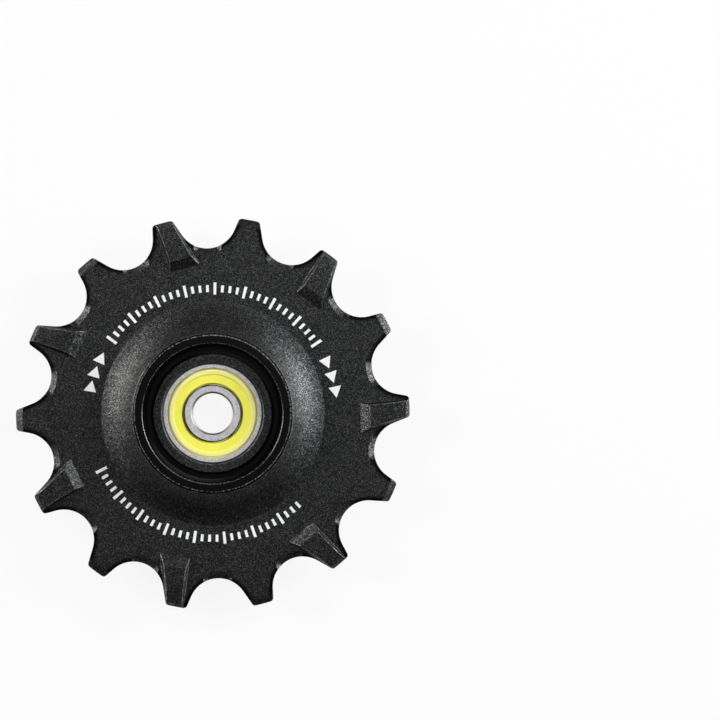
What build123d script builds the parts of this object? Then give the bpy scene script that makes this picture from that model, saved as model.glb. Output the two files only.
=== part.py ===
from build123d import *
from math import cos, degrees, pi, radians, sin, tan
import os

# Jockey wheel of a rear derailleur: a one-piece aluminium wheel with narrow and wide teeth by turns,
# on a sealed ball bearing. The origin is the middle of the axle bore. +Z points out of the side that
# the bearing goes in from, and a wide tooth points along +X. Lengths are millimetres, angles degrees.

# Chain that runs on the wheel
chain_pitch = 12.7
roller_diameter = 7.75

# Teeth and tooth gaps
tooth_count = 14
tooth_height = 4.75
gullet_radius = 4.48
clockwise_flank_angle = 33.0
counter_flank_angle = 25.0
tip_corner_radius = 0.55
tip_bevel_width = 1.0
tip_bevel_depth = 0.55

# Sloped relief at the bottom of each tooth gap, on both faces
relief_width = 0.9
relief_depth = 0.55
relief_length = 2.35
relief_run_out = 0.05

# How far a cutter reaches past the face that it cuts
overcut = 0.5

# Raised lobes that widen every second tooth, on both faces
wide_tooth_thickness = 3.4
lobe_reach_below_root = 2.65
lobe_ramp_length = 1.5
lobe_crown_length = 3.0
lobe_crown_fall = 0.3
lobe_tip_bevel = 0.45
lobe_draft_angle = 25.0
lobe_counter_edge_inner = 0.78
lobe_counter_edge_tip = 1.28
lobe_clockwise_edge_inner = 3.85
lobe_clockwise_edge_tip = 1.3

# Web and hub
web_thickness = 1.9
boss_rise = 0.1
boss_width = 1.37
boss_chamfer = 0.15
seat_mouth_chamfer = 0.15
seat_shoulder_thickness = 0.6
seat_shoulder_width = 0.55
trough_inner_run = 0.28
trough_floor_width = 0.8
trough_outer_run = 0.5
rim_rise = 1.7
rim_width = 1.17
rim_inner_chamfer_width = 0.13
rim_inner_chamfer_depth = 0.1
rim_outer_chamfer_width = 0.4
rim_outer_chamfer_depth = 0.15
flare_run = 4.7
flare_hollow = 0.46

# Ball bearing
bearing_bore = 6.0
bearing_outer_diameter = 15.0
bearing_width = 5.0
outer_race_chamfer = 0.2
outer_race_face_width = 0.73
inner_race_chamfer = 0.15
bore_chamfer = 0.25
groove_depth = 0.24
ball_diameter = 2.381
ball_count = 7
ball_clearance = 0.03

# Cage of the bearing
cage_gap = 0.25
pocket_clearance = 0.08
cage_floor = 0.22
cage_prong_height = 0.45

# Seals of the bearing
seal_seat_depth = 0.75
seal_bead_drop = 0.12
seal_face_drop = 0.22
seal_edge_drop = 0.35
seal_bead_slope_out = 0.42
seal_bead_width = 0.45
seal_bead_slope_in = 0.15
seal_lip_gap = 0.05
seal_lip_slope = 0.27
seal_lip_height = 0.2

# Sizes that follow from the ones above
pitch_angle = 360.0 / tooth_count
pitch_radius = chain_pitch / 2 / sin(radians(pitch_angle / 2))
root_radius = pitch_radius - roller_diameter / 2
tip_radius = root_radius + tooth_height
wide_tooth_count = tooth_count // 2
web_half = web_thickness / 2
wide_half = wide_tooth_thickness / 2
bearing_half = bearing_width / 2
seat_radius = bearing_outer_diameter / 2
boss_front = bearing_half + boss_rise
boss_back = bearing_half + seat_shoulder_thickness
boss_radius = seat_radius + boss_width
shoulder_radius = seat_radius - seat_shoulder_width
trough_inner_radius = boss_radius + trough_inner_run
trough_outer_radius = trough_inner_radius + trough_floor_width
hub_half = boss_front + rim_rise
rim_inner_radius = trough_outer_radius + trough_outer_run
rim_outer_radius = rim_inner_radius + rim_width
flare_top_radius = rim_outer_radius + rim_outer_chamfer_width
flare_top = hub_half - rim_outer_chamfer_depth
flare_foot_radius = flare_top_radius + flare_run
bore_radius = bearing_bore / 2
ball_radius = ball_diameter / 2
groove_radius = ball_radius + ball_clearance
ball_pitch_radius = (bore_radius + seat_radius) / 2
inner_shoulder_radius = ball_pitch_radius - groove_radius + groove_depth
outer_shoulder_radius = ball_pitch_radius + groove_radius - groove_depth
seal_seat_radius = seat_radius - outer_race_face_width
seal_seat_height = bearing_half - seal_seat_depth

os.makedirs("parts", exist_ok=True)


def ring_section(*corners):
    """Half of a ring's section, from (radius, height) corners."""
    with BuildSketch(Plane.XZ) as section:
        with BuildLine():
            Polyline(*corners, close=True)
        make_face()
    return section.sketch


# Tooth gap, drawn along +X: a round seat for the roller and a straight flank on each side
gap_centre = root_radius + gullet_radius
flank_length = 2 * tooth_height


def flank(angle, side):
    """Start and end of the straight flank on the +Y or -Y side of the tooth gap."""
    lean = radians(angle)
    start = (gap_centre - gullet_radius * sin(lean), side * gullet_radius * cos(lean))
    end = (start[0] + flank_length * cos(lean), start[1] + side * flank_length * sin(lean))
    return start, end


upper_flank = flank(clockwise_flank_angle, 1)
lower_flank = flank(counter_flank_angle, -1)

with BuildSketch() as tooth_gap:
    with BuildLine():
        Line(*upper_flank)
        ThreePointArc(upper_flank[0], (root_radius, 0), lower_flank[0])
        Line(*lower_flank)
        Line(lower_flank[1], upper_flank[1])
    make_face()

# Cutter for the relief in the tooth gap, on both faces: a pointed tool that moves along the bottom of the gap
relief_slope = relief_width / relief_depth
relief_bottom = web_half - relief_depth - relief_run_out
relief_tool_height = relief_depth + relief_run_out + overcut
relief_tool_radius = relief_slope * relief_tool_height
relief_path_radius = gullet_radius - relief_slope * relief_run_out
relief_sweep = degrees(relief_length / relief_path_radius)

with BuildPart() as relief:
    relief_section = ring_section(
        (relief_path_radius, relief_bottom),
        (relief_path_radius + relief_tool_radius, relief_bottom + relief_tool_height),
        (relief_path_radius - relief_tool_radius, relief_bottom + relief_tool_height),
    )
    revolve(relief_section, axis=Axis.Z, revolution_arc=relief_sweep)
    with PolarLocations(relief_path_radius, 2, 0, 2 * relief_sweep):
        with Locations((0, 0, relief_bottom)):
            Cone(
                bottom_radius=0,
                top_radius=relief_tool_radius,
                height=relief_tool_height,
                align=(Align.CENTER, Align.CENTER, Align.MIN),
            )
    mirror(about=Plane.XY)

# Cutter for the bevel at the tip of one narrow tooth, on both faces: a part of a ring, one pitch long
bevel_slope = tip_bevel_depth / tip_bevel_width
bevel_top = web_half + overcut * bevel_slope
bevel_bottom = web_half - tip_bevel_depth - overcut * bevel_slope

with BuildPart() as tip_bevel:
    bevel_section = ring_section(
        (tip_radius - tip_bevel_width - overcut, bevel_top),
        (tip_radius + overcut, bevel_bottom),
        (tip_radius + overcut, bevel_top),
    )
    revolve(bevel_section, axis=Axis.Z, revolution_arc=pitch_angle)
    mirror(about=Plane.XY)

# One lobe, on the tooth along +X: a drafted wedge in plan, ramped and crowned in side view
lobe_inner_radius = root_radius - lobe_reach_below_root
lobe_flare = web_half * tan(radians(lobe_draft_angle))
lobe_ramp_slope = (wide_half - web_half) / lobe_ramp_length
lobe_ramp_foot = lobe_inner_radius - web_half / lobe_ramp_slope
lobe_tip_edge = tip_radius - lobe_tip_bevel
lobe_tip_height = wide_half - lobe_crown_fall

with BuildPart() as lobe:
    with BuildSketch():
        with BuildLine():
            Polyline(
                (lobe_inner_radius - lobe_flare, -lobe_clockwise_edge_inner - lobe_flare),
                (tip_radius + lobe_flare, -lobe_clockwise_edge_tip - lobe_flare),
                (tip_radius + lobe_flare, lobe_counter_edge_tip + lobe_flare),
                (lobe_inner_radius - lobe_flare, lobe_counter_edge_inner + lobe_flare),
                close=True,
            )
        make_face()
    extrude(amount=wide_half, taper=lobe_draft_angle)
    with BuildSketch(Plane.XZ):
        with BuildLine():
            lobe_top = Polyline(
                (lobe_ramp_foot, 0),
                (lobe_inner_radius + lobe_ramp_length, wide_half),
                (lobe_tip_edge - lobe_crown_length, wide_half),
            )
            crown = TangentArc(lobe_top @ 1, (lobe_tip_edge, lobe_tip_height), tangent=lobe_top % 1)
            Polyline(crown @ 1, (lobe_tip_edge + lobe_tip_height, 0), lobe_top @ 0)
        make_face()
    extrude(amount=chain_pitch, both=True, mode=Mode.INTERSECT)
    mirror(about=Plane.XY)

# Wheel: turned, relieved at the tooth gaps, bevelled or widened at the teeth by turns, then cut to the teeth
with BuildPart() as pulley_wheel:
    with BuildSketch(Plane.XZ):
        with BuildLine():
            web = Polyline(
                (flare_foot_radius, -web_half),
                (tip_radius, -web_half),
                (tip_radius, web_half),
                (flare_foot_radius, web_half),
            )
            front_flare = SagittaArc(web @ 1, (flare_top_radius, flare_top), flare_hollow)
            hub = Polyline(
                front_flare @ 1,
                (rim_outer_radius, hub_half),
                (rim_inner_radius + rim_inner_chamfer_width, hub_half),
                (rim_inner_radius, hub_half - rim_inner_chamfer_depth),
                (trough_outer_radius, web_half),
                (trough_inner_radius, web_half),
                (boss_radius, boss_front - boss_chamfer),
                (boss_radius - boss_chamfer, boss_front),
                (seat_radius + seat_mouth_chamfer, boss_front),
                (seat_radius, boss_front - seat_mouth_chamfer),
                (seat_radius, -bearing_half),
                (shoulder_radius, -bearing_half),
                (shoulder_radius, -boss_back),
                (boss_radius - boss_chamfer, -boss_back),
                (boss_radius, boss_chamfer - boss_back),
                (trough_inner_radius, -web_half),
                (trough_outer_radius, -web_half),
                (rim_inner_radius, rim_inner_chamfer_depth - hub_half),
                (rim_inner_radius + rim_inner_chamfer_width, -hub_half),
                (rim_outer_radius, -hub_half),
                (flare_top_radius, -flare_top),
            )
            SagittaArc(hub @ 1, web @ 0, flare_hollow)
        make_face()
    revolve(axis=Axis.Z)
    with PolarLocations(gap_centre, tooth_count, start_angle=pitch_angle / 2):
        with Locations(Location((0, 0, 0), 180 - relief_sweep / 2)):
            add(relief.part, mode=Mode.SUBTRACT)
    with PolarLocations(0, wide_tooth_count, pitch_angle / 2, 2 * wide_tooth_count * pitch_angle):
        add(tip_bevel.part, mode=Mode.SUBTRACT)
    with PolarLocations(0, wide_tooth_count, 0, 2 * wide_tooth_count * pitch_angle):
        add(lobe.part)
    with BuildSketch() as outline:
        with Locations(Location((0, 0, 0), pitch_angle / 2)):
            Circle(tip_radius)
        with PolarLocations(0, tooth_count, start_angle=pitch_angle / 2):
            add(tooth_gap.sketch, mode=Mode.SUBTRACT)
        tip_corners = outline.vertices().sort_by(lambda corner: Vector(corner).length)
        fillet(tip_corners[-2 * tooth_count:], radius=tip_corner_radius)
    extrude(amount=hub_half, both=True, mode=Mode.INTERSECT)
pulley_wheel.part.label = "pulley_wheel"
export_step(pulley_wheel.part, "parts/pulley_wheel.step")

# Outer race, with a rebate on each side for a seal
with BuildPart() as bearing_outer_race:
    with BuildSketch(Plane.XZ):
        with BuildLine():
            Polyline(
                (outer_shoulder_radius, -seal_seat_height),
                (seal_seat_radius, -seal_seat_height),
                (seal_seat_radius, -bearing_half),
                (seat_radius - outer_race_chamfer, -bearing_half),
                (seat_radius, outer_race_chamfer - bearing_half),
                (seat_radius, bearing_half - outer_race_chamfer),
                (seat_radius - outer_race_chamfer, bearing_half),
                (seal_seat_radius, bearing_half),
                (seal_seat_radius, seal_seat_height),
                (outer_shoulder_radius, seal_seat_height),
                close=True,
            )
        make_face()
        with Locations((ball_pitch_radius, 0)):
            Circle(groove_radius, mode=Mode.SUBTRACT)
    revolve(axis=Axis.Z)
bearing_outer_race.part.label = "bearing_outer_race"
export_step(bearing_outer_race.part, "parts/bearing_outer_race.step")

# Inner race, with the axle bore
with BuildPart() as bearing_inner_race:
    with BuildSketch(Plane.XZ):
        with BuildLine():
            Polyline(
                (bore_radius, bore_chamfer - bearing_half),
                (bore_radius + bore_chamfer, -bearing_half),
                (inner_shoulder_radius - inner_race_chamfer, -bearing_half),
                (inner_shoulder_radius, inner_race_chamfer - bearing_half),
                (inner_shoulder_radius, bearing_half - inner_race_chamfer),
                (inner_shoulder_radius - inner_race_chamfer, bearing_half),
                (bore_radius + bore_chamfer, bearing_half),
                (bore_radius, bearing_half - bore_chamfer),
                close=True,
            )
        make_face()
        with Locations((ball_pitch_radius, 0)):
            Circle(groove_radius, mode=Mode.SUBTRACT)
    revolve(axis=Axis.Z)
bearing_inner_race.part.label = "bearing_inner_race"
export_step(bearing_inner_race.part, "parts/bearing_inner_race.step")

# Crown cage: a ring with a round pocket for each ball, bored along the radius and open towards +Z
pocket_radius = ball_radius + pocket_clearance
cage_inner_radius = inner_shoulder_radius + cage_gap
cage_outer_radius = outer_shoulder_radius - cage_gap
cage_bottom = -pocket_radius - cage_floor

with BuildPart() as bearing_cage:
    cage_ring = ring_section(
        (cage_inner_radius, cage_bottom),
        (cage_outer_radius, cage_bottom),
        (cage_outer_radius, cage_prong_height),
        (cage_inner_radius, cage_prong_height),
    )
    revolve(cage_ring, axis=Axis.Z)
    with PolarLocations(ball_pitch_radius, ball_count):
        Cylinder(pocket_radius, ball_diameter, rotation=(0, 90, 0), mode=Mode.SUBTRACT)
bearing_cage.part.label = "bearing_cage"
export_step(bearing_cage.part, "parts/bearing_cage.step")

# Balls
for number in range(ball_count):
    turn = 2 * pi * number / ball_count
    centre = (ball_pitch_radius * cos(turn), ball_pitch_radius * sin(turn), 0)
    with BuildPart(Plane(origin=centre)) as ball:
        Sphere(ball_radius)
    ball.part.label = f"ball_{number + 1}"
    export_step(ball.part, f"parts/ball_{number + 1}.step")

# Seals: a flat face with a raised bead near the edge and a lip that runs close to the inner race
lip_radius = inner_shoulder_radius + seal_lip_gap
bead_outer_radius = seal_seat_radius - seal_bead_slope_out
bead_inner_radius = bead_outer_radius - seal_bead_width


def seal_section(side):
    """Section of the seal on the +Z (1) or -Z (-1) side of the bearing."""
    corners = (
        (lip_radius, seal_seat_height),
        (seal_seat_radius, seal_seat_height),
        (seal_seat_radius, bearing_half - seal_edge_drop),
        (bead_outer_radius, bearing_half - seal_bead_drop),
        (bead_inner_radius, bearing_half - seal_bead_drop),
        (bead_inner_radius - seal_bead_slope_in, bearing_half - seal_face_drop),
        (lip_radius + seal_lip_slope, bearing_half - seal_face_drop),
        (lip_radius, seal_seat_height + seal_lip_height),
    )
    return ring_section(*[(radius, side * height) for radius, height in corners])


with BuildPart() as front_seal:
    revolve(seal_section(1), axis=Axis.Z)
front_seal.part.label = "front_seal"
export_step(front_seal.part, "parts/front_seal.step")

with BuildPart() as rear_seal:
    revolve(seal_section(-1), axis=Axis.Z)
rear_seal.part.label = "rear_seal"
export_step(rear_seal.part, "parts/rear_seal.step")
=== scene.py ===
from math import cos, pi, radians, sin

import bmesh
import bpy
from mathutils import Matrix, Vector


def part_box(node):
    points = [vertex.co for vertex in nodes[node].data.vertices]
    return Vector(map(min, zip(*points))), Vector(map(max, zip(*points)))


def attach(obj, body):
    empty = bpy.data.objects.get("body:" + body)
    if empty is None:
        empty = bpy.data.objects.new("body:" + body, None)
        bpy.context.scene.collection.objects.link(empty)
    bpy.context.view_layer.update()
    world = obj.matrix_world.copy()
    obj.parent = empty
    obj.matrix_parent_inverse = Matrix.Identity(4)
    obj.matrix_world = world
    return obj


# Jockey wheel of a rear derailleur, lying face up on a white table and seen from straight above.
# The scene is in metres, in the frame of the part. Sizes below are in millimetres unless they say so.

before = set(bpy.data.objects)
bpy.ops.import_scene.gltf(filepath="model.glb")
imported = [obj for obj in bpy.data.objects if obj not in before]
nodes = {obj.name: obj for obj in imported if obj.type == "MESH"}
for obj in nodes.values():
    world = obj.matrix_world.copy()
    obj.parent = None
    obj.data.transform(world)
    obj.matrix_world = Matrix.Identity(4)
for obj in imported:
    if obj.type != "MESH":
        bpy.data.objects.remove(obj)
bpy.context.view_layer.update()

MM = 0.001

# Photograph: its side and scale, and how the wheel lies in it
picture_side_px = 720
pixels_per_mm = 6.695
wheel_centre_px = (212.75, 413.37)
wheel_turn = radians(1.734)

# Camera
lens = 600.0
sensor_width = 36.0
clip_distance_m = 100.0

# Table
table_height_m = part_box("pulley_wheel")[0].z
table_half_side_m = 3.0
table_glow = 0.9

# Surfaces that the finishes keep to
web_face = 0.95
turned_inner_radius = 8.87
turned_outer_radius = 11.98
turning_pitch = 0.07
burr_inner_radius = 11.6
burr_outer_radius = 11.76
lip_inner_radius = 10.46
lip_outer_radius = 10.6
bead_inner_radius = 5.9
bead_outer_radius = 6.9
gap_shade_inner_radius = 4.12
gap_shade_outer_radius = 4.31
band_edge = 0.03

# Printed marks on the web
ink_thickness = 0.016
ink_sink = 0.004
mark_radius = 18.65
mark_height = 1.8
short_mark_height = 1.05
mark_width = 0.42
mark_pitch = radians(3.45)
mark_arcs = ((radians(34.0), radians(144.0)), (radians(207.0), radians(313.0)))
long_mark_every = 4
arrow_height = 1.9
arrow_length = radians(5.2)
arrow_pitch = radians(6.95)
arrow_rows = (radians(150.8), radians(7.2))
arrows_in_a_row = 3

picture_right = Vector((cos(wheel_turn), -sin(wheel_turn), 0))
picture_up = Vector((sin(wheel_turn), cos(wheel_turn), 0))
picture_out = Vector((0, 0, 1))


# Shader nodes


class Finish:
    """A material with one Principled shader, and short ways to add the nodes that feed it."""

    def __init__(self, name, **constants):
        self.material = bpy.data.materials.new(name)
        self.material.use_nodes = True
        self.tree = self.material.node_tree
        self.shader = self.tree.nodes["Principled BSDF"]
        for socket_name, value in constants.items():
            self.socket(socket_name).default_value = value

    def socket(self, name):
        """Input of the shader by its name in small letters."""
        return self.shader.inputs[name.replace("_", " ").title().replace("Ior", "IOR")]

    def feed(self, **links):
        """Link node outputs to sockets of the shader."""
        for socket_name, value in links.items():
            self.tree.links.new(value, self.socket(socket_name))

    def node(self, kind, inputs, **settings):
        """Add a node, set its options, and link or set its inputs by name or number."""
        made = self.tree.nodes.new(kind)
        for option, value in settings.items():
            setattr(made, option, value)
        for socket, value in inputs.items():
            if isinstance(value, bpy.types.NodeSocket):
                self.tree.links.new(value, made.inputs[socket])
            else:
                made.inputs[socket].default_value = value
        return made

    def math(self, operation, first, second=0.0):
        """Number from two numbers, or from the first alone."""
        return self.node("ShaderNodeMath", {0: first, 1: second}, operation=operation).outputs[0]

    def both(self, first, second):
        """Product of two shares."""
        return self.math("MULTIPLY", first, second)

    def vector(self, operation, first, second=(0, 0, 0)):
        """Vector from two vectors, or from the first alone."""
        return self.node("ShaderNodeVectorMath", {0: first, 1: second}, operation=operation).outputs["Vector"]

    def scaled(self, vector, factor):
        """Vector times a number."""
        inputs = {0: vector, "Scale": factor}
        return self.node("ShaderNodeVectorMath", inputs, operation="SCALE").outputs["Vector"]

    def dot(self, first, second):
        """Dot product of two vectors."""
        inputs = {0: first, 1: second}
        return self.node("ShaderNodeVectorMath", inputs, operation="DOT_PRODUCT").outputs["Value"]

    def remap(self, value, low, high, to_low=0.0, to_high=1.0):
        """Bring low..high to to_low..to_high, smoothly and without overshoot."""
        inputs = {"Value": value, "From Min": low, "From Max": high, "To Min": to_low, "To Max": to_high}
        return self.node("ShaderNodeMapRange", inputs, interpolation_type="SMOOTHSTEP").outputs["Result"]

    def band(self, value, low, high):
        """1 between two values and 0 outside, with soft ends."""
        past_low = self.remap(value, low - band_edge, low + band_edge)
        past_high = self.remap(value, high - band_edge, high + band_edge)
        return self.math("SUBTRACT", past_low, past_high)

    def blend(self, share, first, second):
        """Mix two numbers by a share."""
        return self.node("ShaderNodeMix", {"Factor": share, 2: first, 3: second}).outputs[0]

    def tint(self, share, first, second):
        """Mix two colours by a share."""
        inputs = {"Factor": share, 6: first, 7: second}
        return self.node("ShaderNodeMix", inputs, data_type="RGBA").outputs[2]

    def millimetres(self):
        """The surface point in the piece's own frame, in millimetres."""
        return self.scaled(self.node("ShaderNodeTexCoord", {}).outputs["Object"], 1 / MM)

    def radius(self, point):
        """Distance of a point from the axle's axis."""
        flat = self.vector("MULTIPLY", point, (1, 1, 0))
        return self.node("ShaderNodeVectorMath", {0: flat}, operation="LENGTH").outputs["Value"]

    def upright(self, vector):
        """How far a point or a normal reaches along the axle, to either side."""
        return self.math("ABSOLUTE", self.dot(vector, (0, 0, 1)))

    def level(self, steep=0.9, flat=0.98):
        """1 on faces that lie square to the axle and 0 on steep ones, between two cosines of the slope."""
        normal = self.node("ShaderNodeNewGeometry", {}).outputs["True Normal"]
        return self.remap(self.upright(normal), steep, flat)

    def noise(self, point, scale, detail=2.0, roughness=0.5):
        """Noise from 0 to 1, with scale features to the millimetre."""
        inputs = {"Vector": point, "Scale": scale, "Detail": detail, "Roughness": roughness}
        return self.node("ShaderNodeTexNoise", inputs).outputs[0]

    def rings(self, radius, scale, detail):
        """Noise from 0 to 1 in rings about the axle, with scale rings to the millimetre."""
        inputs = {"W": radius, "Scale": scale, "Detail": detail}
        return self.node("ShaderNodeTexNoise", inputs, noise_dimensions="1D").outputs[0]

    def cells(self, point, scale):
        """A random colour for each of many small cells, scale to the millimetre."""
        return self.node("ShaderNodeTexVoronoi", {"Vector": point, "Scale": scale}).outputs["Color"]

    def specks(self, point, scale):
        """1 on the brightest of many small cells and 0 on the darker ones, scale to the millimetre."""
        return self.remap(self.cells(point, scale), 0.45, 1.0)

    def rounded(self, edge_radius):
        """Normal over edges that are rounded by edge_radius."""
        return self.node("ShaderNodeBevel", {"Radius": edge_radius * MM}, samples=8).outputs["Normal"]

    def edge(self, rounded):
        """1 on edges and 0 on plain faces, from how far the rounded normal leans from the true one."""
        true = self.node("ShaderNodeNewGeometry", {}).outputs["Normal"]
        return self.remap(self.dot(rounded, true), 0.995, 0.93)

    def outline(self, reach):
        """1 along a piece's outer edges and 0 on the rest, from how near its sides are on the inside."""
        settings = {"samples": 8, "inside": True, "only_local": True}
        clear = self.node("ShaderNodeAmbientOcclusion", {"Distance": reach * MM}, **settings).outputs["AO"]
        return self.remap(clear, 0.95, 0.75)

    def facets(self, point, scale, tilt, rounded):
        """Normal of a ground of small facets, scale to the millimetre, each tilted its own way."""
        lean = self.vector("SUBTRACT", self.cells(point, scale), (0.5, 0.5, 0.5))
        return self.vector("NORMALIZE", self.vector("ADD", rounded, self.scaled(lean, tilt)))

    def bump(self, height, depth, rounded):
        """Normal with a relief of the given depth."""
        inputs = {"Height": height, "Distance": depth * MM, "Strength": 1.0, "Normal": rounded}
        return self.node("ShaderNodeBump", inputs).outputs["Normal"]


def paint(finish, *names):
    """Give CAD nodes a finish."""
    for name in names:
        nodes[name].data.materials.clear()
        nodes[name].data.materials.append(finish.material)


# Finishes


def black_anodise():
    """Black anodised aluminium: bead blasted, with the hub rim and the trough turned smooth."""
    finish = Finish("black_anodise", ior=1.81)
    point = finish.millimetres()
    radius = finish.radius(point)

    # Shares of the surface: turned, blasted, no higher than the web, and the web's own flat
    turned = finish.band(radius, turned_inner_radius, turned_outer_radius)
    blasted = finish.math("SUBTRACT", 1.0, turned)
    low = finish.remap(finish.upright(point), web_face + 0.1, web_face + 0.02)
    flat = finish.both(low, finish.level())

    # Grain of the blasting and of the turning
    rounded = finish.rounded(0.18)
    tilted = finish.facets(point, 8.5, finish.both(blasted, 0.3), rounded)
    lathe = finish.math("SINE", finish.math("MULTIPLY", radius, 2 * pi / turning_pitch))
    cloud = finish.noise(point, 0.35, 3.0)
    grain = finish.specks(point, 9.5)

    # The web's outline darkened as painted shade, edges worn bright in places and partly painted highlight, a
    # burr ring that is bare metal and partly a painted glint, and a painted highlight on the rim's inner lip
    glitter = finish.remap(finish.noise(point, 4.0, 2.0), 0.4, 0.65)
    # Darker, duller web outline: painted shade
    painted_outline_shade = finish.both(finish.outline(1.0), flat)
    edge_wear_and_highlight = finish.both(finish.edge(rounded), glitter)
    scuffs_and_painted_highlight = finish.both(edge_wear_and_highlight, finish.math("SUBTRACT", blasted, low))
    burr_and_painted_glint = finish.both(finish.band(radius, burr_inner_radius, burr_outer_radius), glitter)
    painted_lip_highlight = finish.both(finish.band(radius, lip_inner_radius, lip_outer_radius), glitter)

    # Speckle shows only on blasted faces off the outline that are not steep; steep walls and the outline keep
    # the darkest colour as painted shade
    unshaded_face = finish.both(finish.math("SUBTRACT", blasted, painted_outline_shade), finish.level(0.5, 0.8))
    speckle = finish.both(grain, unshaded_face)
    colour = finish.tint(speckle, (0.001, 0.001, 0.0012, 1), (0.011, 0.011, 0.0125, 1))
    # Lighter grey on raised edges: wear, and partly a painted highlight
    colour = finish.tint(scuffs_and_painted_highlight, colour, (0.34, 0.34, 0.345, 1))
    # Burr ring: bare metal, partly a painted glint
    colour = finish.tint(burr_and_painted_glint, colour, (0.2, 0.2, 0.2, 1))
    # Rim's inner lip: painted highlight
    colour = finish.tint(painted_lip_highlight, colour, (0.1, 0.1, 0.1, 1))
    rough = finish.blend(turned, finish.remap(cloud, 0.3, 0.7, 0.44, 0.48), 0.2)
    sheen = finish.blend(blasted, 0.28, finish.blend(grain, 0.16, 0.86))
    sheen = finish.blend(edge_wear_and_highlight, sheen, 1.0)
    finish.feed(
        base_color=colour,
        roughness=finish.blend(edge_wear_and_highlight, rough, 0.25),
        specular_ior_level=finish.blend(painted_outline_shade, sheen, 0.03),
        normal=finish.bump(finish.both(lathe, turned), 0.0005, tilted),
    )
    return finish


def race_steel():
    """Bearing steel: fine grinding rings, grain and faint stains, darker edges, and painted shade in the gap
    at the seal lip.
    """
    finish = Finish("race_steel", metallic=1.0)
    point = finish.millimetres()
    radius = finish.radius(point)
    level = finish.level()
    rings = finish.rings(radius, 16.0, 4.0)
    stains = finish.remap(finish.noise(point, 0.8, 4.0), 0.35, 0.7)
    painted_gap_shade = finish.band(radius, gap_shade_inner_radius, gap_shade_outer_radius)
    colour = finish.tint(stains, (0.86, 0.835, 0.83, 1), (0.74, 0.715, 0.705, 1))
    colour = finish.tint(finish.specks(point, 9.0), colour, (0.46, 0.44, 0.44, 1))
    colour = finish.tint(level, (0.33, 0.325, 0.32, 1), colour)
    # Dark band in the gap between the inner race and the seal lip: painted shade
    colour = finish.tint(painted_gap_shade, colour, (0.05, 0.046, 0.02, 1))
    finish.feed(
        base_color=colour,
        roughness=finish.blend(level, 0.5, finish.remap(rings, 0.3, 0.7, 0.56, 0.66)),
        normal=finish.bump(rings, 0.006, finish.rounded(0.06)),
    )
    return finish


def ball_steel():
    """Polished bearing balls with hair-fine rolling marks."""
    finish = Finish("ball_steel", metallic=1.0, base_color=(0.78, 0.78, 0.78, 1))
    marks = finish.noise(finish.millimetres(), 9.0, 5.0, 0.7)
    finish.feed(
        roughness=finish.remap(marks, 0.35, 0.7, 0.05, 0.14),
        normal=finish.bump(marks, 0.0008, finish.rounded(0.01)),
    )
    return finish


def seal_rubber():
    """Yellow moulded rubber with a fine satin grain, paler from the bead outwards."""
    finish = Finish("seal_rubber", specular_ior_level=0.35)
    point = finish.millimetres()
    grain = finish.noise(point, 11.0, 2.0)
    cloud = finish.remap(finish.noise(point, 0.7, 3.0), 0.3, 0.7)
    bead = finish.band(finish.radius(point), bead_inner_radius, bead_outer_radius)
    colour = finish.tint(cloud, (0.92, 0.88, 0.1, 1), (0.95, 0.91, 0.13, 1))
    colour = finish.tint(bead, colour, (0.92, 0.88, 0.32, 1))
    finish.feed(
        base_color=colour,
        roughness=finish.remap(grain, 0.3, 0.7, 0.5, 0.64),
        normal=finish.bump(grain, 0.008, finish.rounded(0.05)),
    )
    return finish


def cage_nylon():
    """Natural moulded nylon, slightly waxy and mottled."""
    finish = Finish("cage_nylon", subsurface_weight=0.15, subsurface_scale=0.0005)
    point = finish.millimetres()
    mottle = finish.noise(point, 1.6, 4.0)
    grain = finish.noise(point, 14.0, 2.0)
    finish.feed(
        base_color=finish.tint(mottle, (0.74, 0.68, 0.55, 1), (0.84, 0.8, 0.7, 1)),
        roughness=finish.remap(grain, 0.3, 0.7, 0.38, 0.52),
        normal=finish.bump(grain, 0.005, finish.rounded(0.05)),
    )
    return finish


def print_ink():
    """White printing ink that follows the blasted ground, thin in places."""
    finish = Finish("print_ink", specular_ior_level=0.3)
    point = finish.millimetres()
    pits = finish.noise(point, 4.2, 3.0, 0.6)
    thin = finish.remap(finish.noise(point, 6.0, 3.0), 0.24, 0.38)
    finish.feed(
        base_color=finish.tint(thin, (0.36, 0.36, 0.36, 1), (0.92, 0.92, 0.91, 1)),
        roughness=finish.remap(pits, 0.3, 0.7, 0.55, 0.75),
        normal=finish.bump(pits, 0.012, finish.rounded(0.01)),
    )
    return finish


paint(black_anodise(), "pulley_wheel")
paint(race_steel(), "bearing_outer_race", "bearing_inner_race")
paint(seal_rubber(), "front_seal", "rear_seal")
paint(cage_nylon(), "bearing_cage")
paint(ball_steel(), *[name for name in nodes if name.startswith("ball_")])


# Printed marks


def polar(radius, angle):
    """Point of the web at an angle from the picture's right, in millimetres."""
    return picture_right * (radius * cos(angle)) + picture_up * (radius * sin(angle))


def printed(name, shapes, finish):
    """Thin ink in the given outlines on the front of the web, as one piece on the wheel."""
    mesh = bmesh.new()
    for outline in shapes:
        low = [mesh.verts.new((p + picture_out * (web_face - ink_sink)) * MM) for p in outline]
        face = mesh.faces.new(low)
        raised = bmesh.ops.extrude_face_region(mesh, geom=[face])["geom"]
        top = [item for item in raised if isinstance(item, bmesh.types.BMVert)]
        bmesh.ops.translate(mesh, verts=top, vec=picture_out * (ink_sink + ink_thickness) * MM)
    bmesh.ops.recalc_face_normals(mesh, faces=mesh.faces)
    data = bpy.data.meshes.new(name)
    mesh.to_mesh(data)
    mesh.free()
    data.materials.append(finish.material)
    piece = bpy.data.objects.new(name, data)
    bpy.context.scene.collection.objects.link(piece)
    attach(piece, "wheel")


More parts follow.
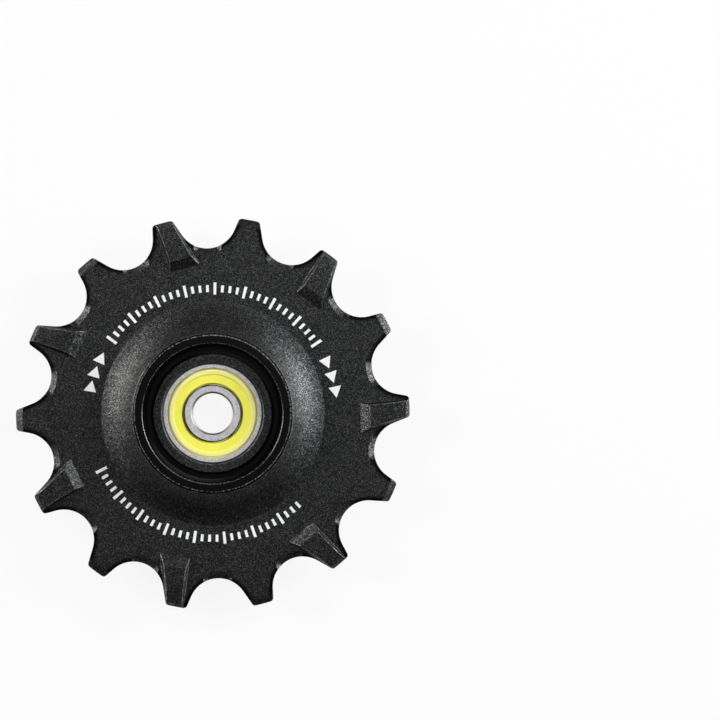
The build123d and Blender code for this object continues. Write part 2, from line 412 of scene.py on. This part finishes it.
def bar(angle, height):
    """Outline of one radial bar."""
    half_turn = mark_width / 2 / mark_radius
    low, high = mark_radius - height / 2, mark_radius + height / 2
    return [
        polar(low, angle - half_turn),
        polar(high, angle - half_turn),
        polar(high, angle + half_turn),
        polar(low, angle + half_turn),
    ]


def scale_marks(start, end):
    """Bars at an even pitch along an arc, a long one every few."""
    count = round((end - start) / mark_pitch)
    for number in range(count + 1):
        height = short_mark_height if number % long_mark_every else mark_height
        yield bar(start + (end - start) * number / count, height)


def arrows(tip):
    """Row of arrowheads that point clockwise, from the angle of the first tip."""
    for number in range(arrows_in_a_row):
        point = tip + number * arrow_pitch
        base = point + arrow_length
        yield [
            polar(mark_radius, point),
            polar(mark_radius + arrow_height / 2, base),
            polar(mark_radius - arrow_height / 2, base),
        ]


ink = print_ink()
printed("scale_print", [shape for arc in mark_arcs for shape in scale_marks(*arc)], ink)
printed("arrow_print", [shape for tip in arrow_rows for shape in arrows(tip)], ink)


# Table


def table_finish():
    """Matt white that stays white to the eye and in reflections, and takes a faint shadow."""
    material = bpy.data.materials.new("white_table")
    material.use_nodes = True
    tree = material.node_tree
    tree.nodes.remove(tree.nodes["Principled BSDF"])
    matt = tree.nodes.new("ShaderNodeBsdfDiffuse")
    matt.inputs["Color"].default_value = (0.85, 0.85, 0.85, 1)
    glow = tree.nodes.new("ShaderNodeEmission")
    mix = tree.nodes.new("ShaderNodeMixShader")
    ray = tree.nodes.new("ShaderNodeLightPath")
    seen = ray.outputs["Is Camera Ray"]
    for kind in ("Is Glossy Ray", "Is Transmission Ray"):
        either = tree.nodes.new("ShaderNodeMath")
        either.operation = "MAXIMUM"
        tree.links.new(seen, either.inputs[0])
        tree.links.new(ray.outputs[kind], either.inputs[1])
        seen = either.outputs[0]
    share = tree.nodes.new("ShaderNodeMath")
    share.operation = "MULTIPLY"
    share.inputs[1].default_value = table_glow
    tree.links.new(seen, share.inputs[0])
    tree.links.new(share.outputs[0], mix.inputs["Fac"])
    tree.links.new(matt.outputs[0], mix.inputs[1])
    tree.links.new(glow.outputs[0], mix.inputs[2])
    tree.links.new(mix.outputs[0], tree.nodes["Material Output"].inputs["Surface"])
    return material


table_data = bpy.data.meshes.new("table")
table_signs = ((-1, -1), (1, -1), (1, 1), (-1, 1))
corners = [(x * table_half_side_m, y * table_half_side_m, table_height_m) for x, y in table_signs]
table_data.from_pydata(corners, [], [(0, 1, 2, 3)])
table_data.materials.append(table_finish())
table = bpy.data.objects.new("table", table_data)
bpy.context.scene.collection.objects.link(table)


# Light


def softbox(name, bearing, elevation, distance, size, radiance, colour):
    """Soft lamp that looks at the wheel, at a bearing and elevation in degrees and a distance in metres."""
    width, height = size
    lamp = bpy.data.lights.new(name, "AREA")
    lamp.shape = "RECTANGLE"
    lamp.size = width
    lamp.size_y = height
    lamp.energy = radiance * pi * width * height
    lamp.color = colour
    level = picture_right * cos(radians(bearing)) + picture_up * sin(radians(bearing))
    place = (level * cos(radians(elevation)) + picture_out * sin(radians(elevation))) * distance
    holder = bpy.data.objects.new(name, lamp)
    holder.location = place
    holder.rotation_euler = place.to_track_quat("Z", "Y").to_euler()
    bpy.context.scene.collection.objects.link(holder)


softbox(
    "left_softbox",
    bearing=162,
    elevation=27,
    distance=0.6,
    size=(0.36, 0.2),
    radiance=15.5,
    colour=(1.0, 0.985, 0.965),
)
softbox(
    "right_softbox",
    bearing=16,
    elevation=21,
    distance=0.6,
    size=(0.36, 0.2),
    radiance=21.2,
    colour=(0.97, 0.985, 1.0),
)
softbox(
    "top_softbox",
    bearing=65,
    elevation=65,
    distance=0.18,
    size=(0.09, 0.06),
    radiance=2.5,
    colour=(0.92, 0.96, 1.0),
)
softbox(
    "ceiling",
    bearing=90,
    elevation=90,
    distance=2.5,
    size=(2.0, 2.0),
    radiance=0.045,
    colour=(1.0, 1.0, 1.0),
)

world = bpy.data.worlds.new("dim_room")
bpy.context.scene.world = world
world.use_nodes = True
world.node_tree.nodes["Background"].inputs["Color"].default_value = (0.02, 0.02, 0.02, 1)


# Camera, straight above the middle of the picture

frame_width = picture_side_px / pixels_per_mm
to_middle_right = (picture_side_px / 2 - wheel_centre_px[0]) / pixels_per_mm
to_middle_up = (wheel_centre_px[1] - picture_side_px / 2) / pixels_per_mm
camera_height = web_face + frame_width * lens / sensor_width
over_middle = picture_right * to_middle_right + picture_up * to_middle_up + picture_out * camera_height
camera_data = bpy.data.cameras.new("camera")
camera_data.lens = lens
camera_data.sensor_width = sensor_width
camera_data.clip_end = clip_distance_m
camera = bpy.data.objects.new("camera", camera_data)
camera.location = over_middle * MM
camera.rotation_euler = (0, 0, -wheel_turn)
bpy.context.scene.collection.objects.link(camera)
bpy.context.scene.camera = camera
bpy.context.scene.view_settings.view_transform = "Standard"
